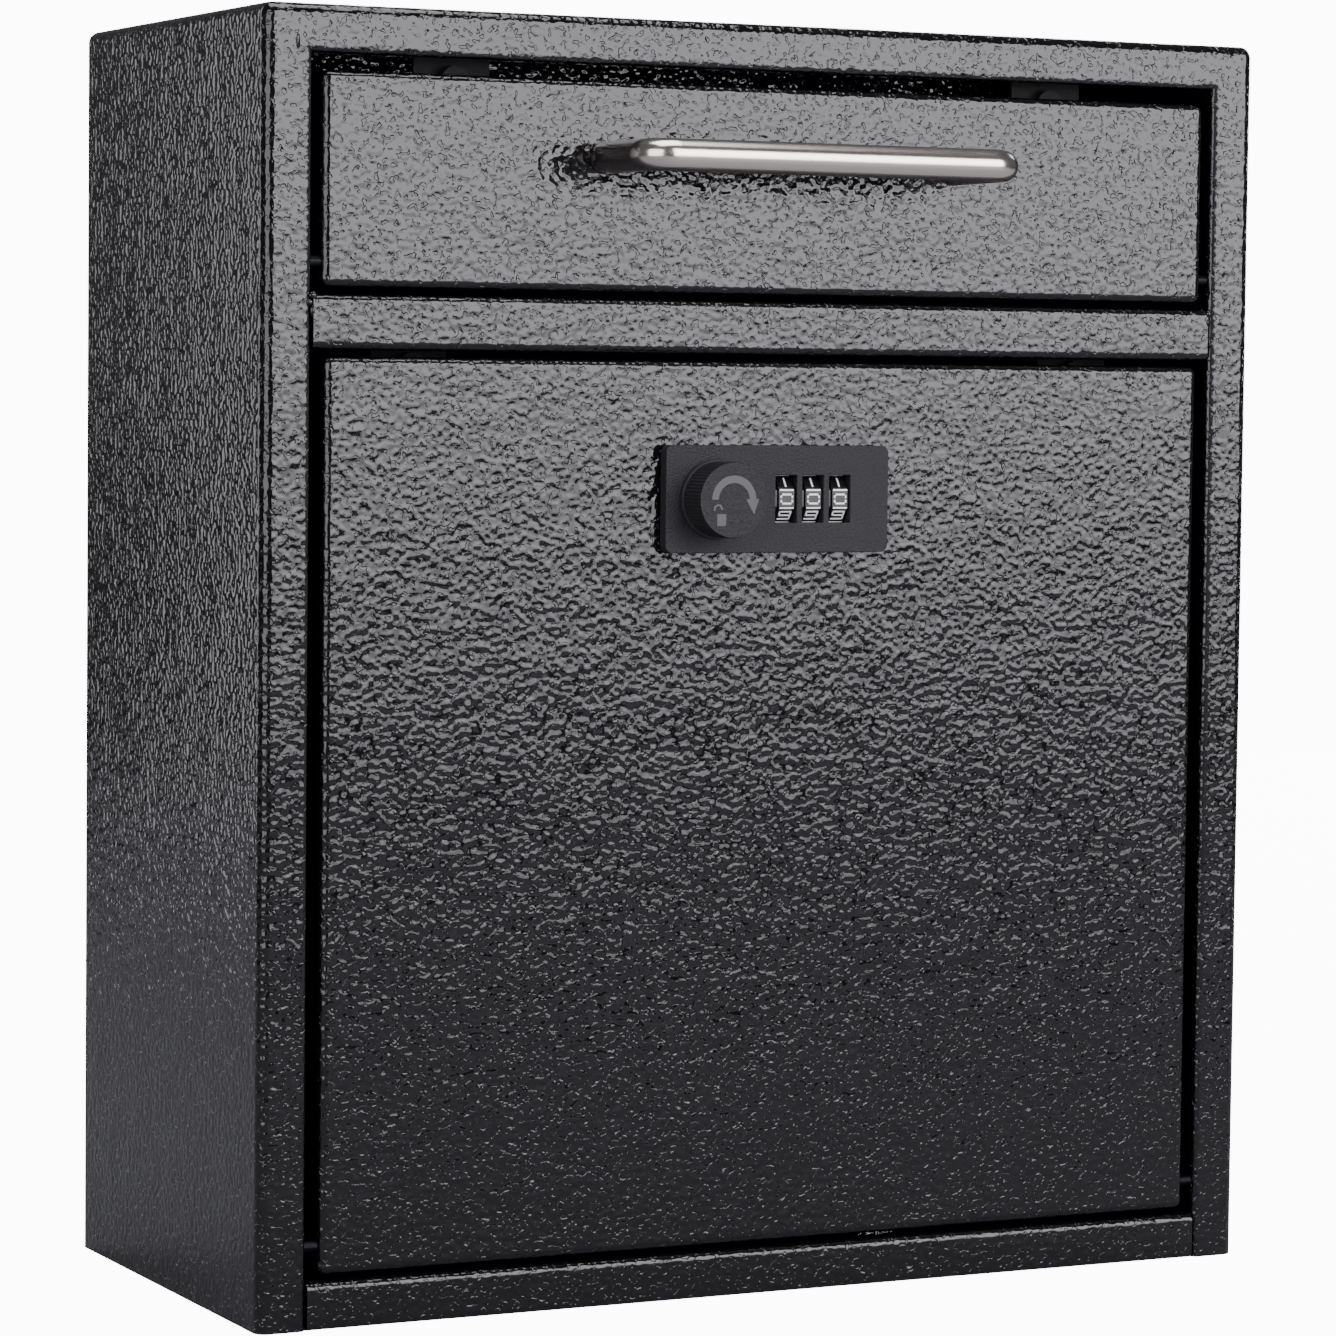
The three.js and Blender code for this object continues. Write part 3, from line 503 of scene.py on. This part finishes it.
def make_paint_runs():
    """Thick coat gathered where the cross rail's ends meet the stiles, and one run above them."""
    low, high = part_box("cross_rail")
    stile_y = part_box("cabinet_wrap")[0].y
    seam = high.x + FIT_GAP / 2
    # Each run: side, offset from the seam, height above the rail's lower edge, half width and
    # half height, in millimetres.
    runs = (
        (-1, 0.0, 15.4, 1.3, 1.0), (-1, 1.0, 13.4, 1.2, 0.9), (-1, 0.2, 11.0, 0.7, 1.6),
        (-1, 5.0, 87.0, 0.7, 2.4), (1, 0.0, 14.6, 0.9, 1.1), (1, -0.3, 12.0, 0.6, 1.3),
    )
    pieces = []
    for side, offset, rise, wide, tall in runs:
        deselect()
        bpy.ops.mesh.primitive_uv_sphere_add(
            segments=20, ring_count=12, radius=MM,
            location=(side * (seam + offset * MM), stile_y + RUN_SINK, low.z + rise * MM),
            scale=(wide, RUN_THICKNESS, tall),
        )
        pieces.append(start("paint_run"))
    drops = join(pieces)
    edit(drops, "VERT", lambda co, no: True)
    bpy.ops.transform.vertex_random(offset=RUN_UNEVEN, seed=3)
    done()
    drops.name = "paint_runs"
    smooth(drops, 70)
    return stamp(drops, "cabinet", FRONT_COAT, "powder_coat")


make_wrap()
make_cross_rail()
make_bottom_pan()
make_paint_runs()
housing_low, housing_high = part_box("lock_housing")
make_panel("retrieval_door_skin", "door", (housing_low, housing_high), DOOR_LIP, "door_panel")
make_panel("drop_flap_skin", "flap", None, 0, "flap_panel")


# ------------------------------------------------------------------ handle

HANDLE_BEND = 7 * MM
HANDLE_BEND_STEPS = 14


def make_handle():
    """Bent rod: a circle drawn out, swept round each bend and drawn on."""
    low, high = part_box("pull_handle")
    radius = (high.z - low.z) / 2
    middle = (high.z + low.z) / 2
    leg_x = high.x - radius
    bar_y = low.y + radius
    deselect()
    bpy.ops.mesh.primitive_circle_add(
        vertices=40, radius=radius, fill_type="NGON",
        location=(-leg_x, high.y, middle), rotation=(math.pi / 2, 0, 0),
    )
    handle = start("pull_rod")
    edit(handle, "FACE", lambda co, no: True)
    legs = bar_y + HANDLE_BEND - high.y
    turn_x = leg_x - HANDLE_BEND

    def bend_round(x):
        bpy.ops.mesh.spin(
            steps=HANDLE_BEND_STEPS, angle=-math.pi / 2,
            center=(x, bar_y + HANDLE_BEND, middle), axis=(0, 0, 1),
        )

    bpy.ops.mesh.extrude_region_move(TRANSFORM_OT_translate={"value": (0, legs, 0)})
    bend_round(-turn_x)
    bpy.ops.mesh.extrude_region_move(TRANSFORM_OT_translate={"value": (2 * turn_x, 0, 0)})
    bend_round(turn_x)
    bpy.ops.mesh.extrude_region_move(TRANSFORM_OT_translate={"value": (0, -legs, 0)})
    done()
    weld(handle)
    smooth(handle, 50)
    return stamp(handle, "flap", ROD_STEEL, "stainless", "pull_handle")


make_handle()


# ------------------------------------------------------------------ lock

plate_low, plate_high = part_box("lock_faceplate")
wheel_boxes = [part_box(f"number_wheel_{i}") for i in (1, 2, 3)]
lock_z = (plate_low.z + plate_high.z) / 2
WINDOW = (7.1 * MM, 14.2 * MM)
PLATE_CORNER = 2.2 * MM
PLATE_EDGE_ROUND = 0.3 * MM


def make_faceplate():
    plate = block("lock_faceplate_moulding", plate_low, plate_high)
    for wheel_low, wheel_high in wheel_boxes:
        middle = (wheel_low.x + wheel_high.x) / 2
        for side in (-1, 1):
            cut_plane(plate, 0, middle + side * WINDOW[0] / 2, lambda co, no: abs(no.y) > ALONG)
    for side in (-1, 1):
        cut_plane(plate, 2, lock_z + side * WINDOW[1] / 2, lambda co, no: abs(no.y) > ALONG)
    for wheel_low, wheel_high in wheel_boxes:
        middle = (wheel_low.x + wheel_high.x) / 2
        edit(plate, "FACE", lambda co, no: (
            abs(no.y) > ALONG
            and abs(co.z - lock_z) < WINDOW[1] / 2
            and abs(co.x - middle) < WINDOW[0] / 2))
        bpy.ops.mesh.bridge_edge_loops()
        done()
    weld(plate)
    half_height = (plate_high.z - plate_low.z) / 2
    bevel(plate, PLATE_CORNER, BEND_STEPS, lambda co, run: (
        abs(run.y) > ALONG and near(abs(co.z - lock_z), half_height)))
    round_edges(plate, PLATE_EDGE_ROUND, steps=3, angle=50)
    smooth(plate)
    return stamp(plate, "door", LOCK_ABS, "lock_plastic", "lock_faceplate")


make_faceplate()

knob_low, knob_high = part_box("lock_knob")
KNOB_RIBS = 64
GROOVE_SCALE = 0.97
SKIRT_HEIGHT = 1.6 * MM
SKIRT_STEP = 0.6 * MM
KNOB_FACE_ROUND = 0.45 * MM
SKIRT_ROUND = 0.5 * MM


def make_knob():
    """Turn knob: ribbed grip with a smooth skirt at its foot and a softened face."""
    radius = (knob_high.x - knob_low.x) / 2
    face_radius = radius - SKIRT_STEP
    centre = (knob_low + knob_high) / 2
    grip = knob_high.y - knob_low.y - SKIRT_HEIGHT
    knob = rod(
        "lock_knob_grip", face_radius, grip,
        (centre.x, knob_low.y + grip / 2, centre.z), (math.pi / 2, 0, 0), 2 * KNOB_RIBS,
    )
    bevel(knob, KNOB_FACE_ROUND, 3, lambda co, run: near(co.y, knob_low.y))
    step = math.pi / KNOB_RIBS

    def groove(co, no):
        if co.y < knob_low.y + 0.1 * MM:
            return False
        turn = math.atan2(co.z - centre.z, co.x - centre.x) / step
        return round(turn) % 2 == 0

    edit(knob, "VERT", groove)
    bpy.ops.transform.resize(
        value=(GROOVE_SCALE, 1, GROOVE_SCALE), center_override=tuple(centre)
    )
    done()
    delete_faces(knob, lambda co, no: near(co.y, knob_low.y + grip) and no.y > ALONG)
    foot = rod(
        "knob_skirt", radius, SKIRT_HEIGHT, (centre.x, knob_high.y - SKIRT_HEIGHT / 2, centre.z),
        (math.pi / 2, 0, 0), 96,
    )
    bevel(foot, SKIRT_ROUND, 3, lambda co, run: near(co.y, knob_high.y - SKIRT_HEIGHT))
    join([knob, foot])
    smooth(knob, 40)
    return stamp(knob, "knob", LOCK_ABS, "lock_plastic", "lock_knob")


make_knob()

WHEEL_FACES = 10
wheel_low, wheel_high = wheel_boxes[0]
WHEEL_RADIUS = (wheel_high.z - wheel_low.z) / 2
BODY_RADIUS = WHEEL_RADIUS - 0.25 * MM
RIDGE_RADIUS = WHEEL_RADIUS - 0.33 * MM
SHOULDER = 1.1 * MM
SHOULDER_STEP = 0.7 * MM
SHOULDER_ROUND = 0.3 * MM
RIDGE_ROUND = 0.5 * MM
RIM_ROUND = 0.25 * MM


def make_wheel(index, low, high):
    """Number wheel: ten flats with a rounded ridge between each pair, and a lower left shoulder."""
    centre = (low + high) / 2
    width = high.x - low.x
    wheel = rod(
        f"number_wheel_body_{index}", BODY_RADIUS, width - SHOULDER,
        (centre.x + SHOULDER / 2, centre.y, centre.z), (0, math.pi / 2, 0), WHEEL_FACES,
    )
    edit(wheel, "VERT", lambda co, no: True)
    bpy.ops.transform.rotate(
        value=math.pi / WHEEL_FACES, orient_axis="X", center_override=tuple(centre)
    )
    done()
    bevel(wheel, RIDGE_ROUND, 3, lambda co, run: abs(run.x) > ALONG)
    bevel(wheel, RIM_ROUND, 2, lambda co, run: abs(run.x) < ACROSS)
    edit(wheel, "FACE", lambda co, no: no.x < -ALONG)
    bpy.ops.mesh.inset(thickness=SHOULDER_STEP)
    bpy.ops.mesh.extrude_region_move(TRANSFORM_OT_translate={"value": (-SHOULDER, 0, 0)})
    done()
    bevel(wheel, SHOULDER_ROUND, 2, lambda co, run: near(co.x, low.x))
    smooth(wheel, 25)
    stamp(wheel, f"wheel_{index}", WHEEL_ABS, "wheel_plastic", f"number_wheel_{index}")
    return centre, width


# Strokes of the squarish digits: top, upper right, lower right, bottom, lower left, upper left,
# middle; each is its middle across, its middle up and whether it lies flat.
STROKES = {
    "A": (0, 1, True), "B": (1, 0.5, False), "C": (1, -0.5, False), "D": (0, -1, True),
    "E": (-1, -0.5, False), "F": (-1, 0.5, False), "G": (0, 0, True),
}
DIGITS = ["ABCDEF", "I", "ABGED", "ABGCD", "FGBC", "AFGCD", "AFEDCG", "ABC", "ABCDEFG", "AFBGCD"]
DIGIT_HALF_WIDTH = 1.85 * MM
DIGIT_HALF_HEIGHT = 1.35 * MM
STROKE = 0.5 * MM
PAINT = 0.12 * MM
# Height and end margin of the white bars that paint the ridges' highlights.
RIDGE_HIGHLIGHT_BAR = 0.5 * MM
RIDGE_HIGHLIGHT_MARGIN = 0.7 * MM


def make_numbers(index, centre, width):
    """White squarish numbers on the wheel's flats, and white bars on its ridges that are painted
    highlights.
    """
    flat = BODY_RADIUS * math.cos(math.pi / WHEEL_FACES)
    middle = Vector((centre.x + SHOULDER / 2, centre.y, centre.z))
    bar = width - SHOULDER - RIDGE_HIGHLIGHT_MARGIN
    marks = []

    def mark(x, z, across, up, radius, turn):
        front = middle.y - radius
        piece = block(
            f"wheel_mark_{len(marks)}",
            (middle.x + x - across / 2, front - PAINT / 2, middle.z + z - up / 2),
            (middle.x + x + across / 2, front + PAINT / 2, middle.z + z + up / 2),
        )
        edit(piece, "VERT", lambda co, no: True)
        bpy.ops.transform.rotate(value=turn, orient_axis="X", center_override=tuple(middle))
        done()
        marks.append(piece)

    for value, digit in enumerate(DIGITS):
        turn = value * 2 * math.pi / WHEEL_FACES
        for stroke in digit:
            if stroke == "I":
                mark(0, 0, STROKE, 2 * DIGIT_HALF_HEIGHT + STROKE, flat, turn)
                continue
            x, z, lies = STROKES[stroke]
            across = 2 * DIGIT_HALF_WIDTH + STROKE if lies else STROKE
            up = STROKE if lies else DIGIT_HALF_HEIGHT + STROKE
            mark(x * DIGIT_HALF_WIDTH, z * DIGIT_HALF_HEIGHT, across, up, flat, turn)
        # A white bar on the ridge after each flat: a painted highlight where the ridge catches the
        # light.
        mark(0, 0, bar, RIDGE_HIGHLIGHT_BAR, RIDGE_RADIUS, turn + math.pi / WHEEL_FACES)
    row = join(marks)
    row.name = f"wheel_numbers_and_painted_highlights_{index}"
    return stamp(row, f"wheel_{index}", NUMBER_PAINT, "wheel_plastic")


for index, (low, high) in enumerate(wheel_boxes, start=1):
    make_numbers(index, *make_wheel(index, low, high))


SYMBOL_HEIGHT = 0.05 * MM


def face_symbol(name, points):
    """Flat symbol on the knob's face from an outline in millimetres about the knob's middle."""
    centre = (knob_low + knob_high) / 2
    deselect()
    bpy.ops.mesh.primitive_circle_add(vertices=len(points), radius=1, fill_type="NGON")
    piece = start(name)
    for vertex, (x, z) in zip(piece.data.vertices, points):
        vertex.co = Vector((centre.x + x * MM, knob_low.y, centre.z + z * MM))
    edit(piece, "FACE", lambda co, no: True)
    bpy.ops.mesh.extrude_region_move(TRANSFORM_OT_translate={"value": (0, -SYMBOL_HEIGHT, 0)})
    done()
    weld(piece)
    return stamp(piece, "knob", SYMBOL_ABS, "lock_plastic")


def polar(radius, degrees, cx, cz):
    turn = math.radians(degrees)
    return (cx + radius * math.cos(turn), cz + radius * math.sin(turn))


def arc(radius, first, last, steps, cx=0.0, cz=0.0):
    return [polar(radius, first + (last - first) * i / steps, cx, cz) for i in range(steps + 1)]


# Outlines in millimetres across and up from the middle of the knob.
ARROW_OUTLINE = (
    arc(7.3, 178, 2, 24) + [(8.2, 0.4), (6.6, -4.2), (3.9, 0.4)] + arc(5.1, 4, 178, 24)
)
face_symbol("knob_turn_arrow", ARROW_OUTLINE)
PADLOCK_BODY = [(-5.5, -4.0), (-2.6, -4.0), (-2.6, -7.5), (-5.5, -7.5)]
face_symbol("knob_padlock_body", PADLOCK_BODY)
PADLOCK_BOW = arc(1.5, 200, -10, 14, -5.2, -2.6) + arc(0.9, -10, 200, 14, -5.2, -2.6)
face_symbol("knob_padlock_bow", PADLOCK_BOW)


# ------------------------------------------------------------------ finishes of the CAD nodes

NODE_FINISH = {
    "powder_coat": FRONT_COAT,
    "zinc_plate": ZINC,
    "black_oxide": BLACK_OXIDE,
    "stainless": ROD_STEEL,
    "lock_plastic": LOCK_ABS,
    "wheel_plastic": WHEEL_ABS,
    "spring_steel": SPRING,
    "rubber": RUBBER,
}
# The gun hardly reaches the parts behind the doors, so that their coat is thin, dry and dull; its
# colour, darker than the front coat, is painted shade for the recess behind the gaps.
BEHIND_DOORS = (
    "flap_bracket", "door_bracket", "flap_stop", "door_stop", "cam_keeper", "flap_cheek",
)
for entry in frame["record"]["subparts"]:
    cad_node = frame["nodes"][entry["node"]]
    finish = NODE_FINISH[entry["material_slot"]]
    if entry["node"].startswith(BEHIND_DOORS):
        finish = SHADED_INSIDE_COAT
    cad_node.data.materials.clear()
    cad_node.data.materials.append(finish)


# ------------------------------------------------------------------ studio

def aim(thing, towards):
    thing.rotation_euler = (Vector(towards) - thing.location).to_track_quat("-Z", "Y").to_euler()


front_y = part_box("cabinet_wrap")[0].y
VIEW_TARGET = Vector((-0.0364, front_y, 0.1894))
VIEW_AZIMUTH = math.radians(-26.085)
VIEW_ELEVATION = math.radians(3.509)
VIEW_ROLL = math.radians(0.621)
VIEW_DISTANCE = 1.4069
VIEW_LENS = 128.2
SENSOR_WIDTH = 36
VIEW_REACH = 50


def make_camera():
    data = bpy.data.cameras.new("view")
    camera = bpy.data.objects.new("view", data)
    bpy.context.scene.collection.objects.link(camera)
    data.sensor_width = SENSOR_WIDTH
    data.lens = VIEW_LENS
    data.clip_end = VIEW_REACH
    away = Vector((
        math.sin(VIEW_AZIMUTH) * math.cos(VIEW_ELEVATION),
        -math.cos(VIEW_AZIMUTH) * math.cos(VIEW_ELEVATION),
        math.sin(VIEW_ELEVATION),
    ))
    right = (-away).cross(Vector((0, 0, 1))).normalized()
    up = right.cross(-away)
    roll_right = right * math.cos(VIEW_ROLL) + up * math.sin(VIEW_ROLL)
    roll_up = up * math.cos(VIEW_ROLL) - right * math.sin(VIEW_ROLL)
    turn = Matrix((roll_right, roll_up, away)).transposed().to_4x4()
    camera.matrix_world = Matrix.Translation(VIEW_TARGET + away * VIEW_DISTANCE) @ turn
    bpy.context.scene.camera = camera


LAMP_COLOUR = (0.955, 0.945, 1.0)


def softbox(name, place, towards, width, height, power):
    data = bpy.data.lights.new(name, "AREA")
    data.shape = "RECTANGLE"
    data.size = width
    data.size_y = height
    data.energy = power
    data.color = LAMP_COLOUR
    lamp = bpy.data.objects.new(name, data)
    bpy.context.scene.collection.objects.link(lamp)
    lamp.location = place
    aim(lamp, towards)
    return lamp


make_camera()

# The camera alone sees floor and surround near white; the box is lit by a mid grey floor and a
# dim room.
WHITE_SEEN = 12.0
ROOM_LIGHT = 0.12
ROOM_COLOUR = (0.97, 0.97, 1.0, 1)
FLOOR_SIZE = 12
FLOOR_DROP = 0.5 * MM
PAPER_GRAIN_MM = 2


def camera_only(tree_owner, base):
    """WHITE_SEEN more than the base for rays from the camera, the base for all other light."""
    path = node(tree_owner, "ShaderNodeLightPath")
    strength = node(
        tree_owner, "ShaderNodeMath", {"operation": "MULTIPLY_ADD"},
        {0: path.outputs["Is Camera Ray"]},
    )
    strength.inputs[1].default_value = WHITE_SEEN
    strength.inputs[2].default_value = base
    return strength.outputs[0]


deselect()
bpy.ops.mesh.primitive_plane_add(size=FLOOR_SIZE, location=(0, 0, -FLOOR_DROP))
floor = bpy.context.object
floor.name = "studio_floor"
floor_finish, floor_shader = new_finish("pale_studio_paper", "#8c8c90", 0.9)
paper = noise(floor_finish, object_coordinates(floor_finish), PAPER_GRAIN_MM, Detail=2.0)
add_relief(floor_finish, floor_shader, paper, 0.1, 0.1)
floor_shader.inputs["Emission Color"].default_value = (1, 1, 1, 1)
connect(floor_finish, camera_only(floor_finish, 0.0), floor_shader.inputs["Emission Strength"])
floor.data.materials.append(floor_finish)

world = bpy.data.worlds.new("studio")
bpy.context.scene.world = world
world.use_nodes = True
background = world.node_tree.nodes["Background"]
background.inputs["Color"].default_value = ROOM_COLOUR
connect(world, camera_only(world, ROOM_LIGHT), background.inputs["Strength"])

# The front mirrors tall softboxes on the right towards the view. They stand one behind the other
# and their lower edges rise in steps, so that the shine fades out down the door.
KEY_TOP = 1.28
KEY_WIDTH = 1.5
KEY_X = 0.70
KEY_AWAY = 1.30
KEY_SPACING = 0.01
# Each step: lower edge in metres and brightness.
KEY_STEPS = ((0.08, 3.7), (0.17, 1.4), (0.26, 1.5), (0.35, 1.6))
for step, (low_edge, brightness) in enumerate(KEY_STEPS):
    tall = KEY_TOP - low_edge
    place = Vector((KEY_X, front_y - KEY_AWAY - KEY_SPACING * step, low_edge + tall / 2))
    power = brightness * math.pi * KEY_WIDTH * tall
    softbox(f"key_softbox_{step}", place, place + Vector((0, 1, 0)), KEY_WIDTH, tall, power)

# The side softbox stands behind the left side, which mirrors its edge. The rear and left ones are
# out of the camera's sight; they light the right side and the rear, and the front seen from the
# right. Each row: name, place, aimed at, width, height, power, seen by the camera.
BOX_MIDDLE = (0.0, 0.0, 0.2)
SOFTBOXES = (
    ("side_softbox", (-1.20, 1.2, 0.55), (-1.20, 0.0, 0.55), 1.0, 1.7, 11, True),
    ("top_softbox", (0.0, -0.2, 1.7), BOX_MIDDLE, 1.2, 1.0, 22, True),
    ("rear_softbox", (1.5, 1.4, 0.8), BOX_MIDDLE, 2.0, 1.4, 45, False),
    ("left_softbox", (-1.5, -1.1, 0.6), BOX_MIDDLE, 1.3, 1.5, 26, False),
)
for *row, in_sight in SOFTBOXES:
    softbox(*row).visible_camera = in_sight
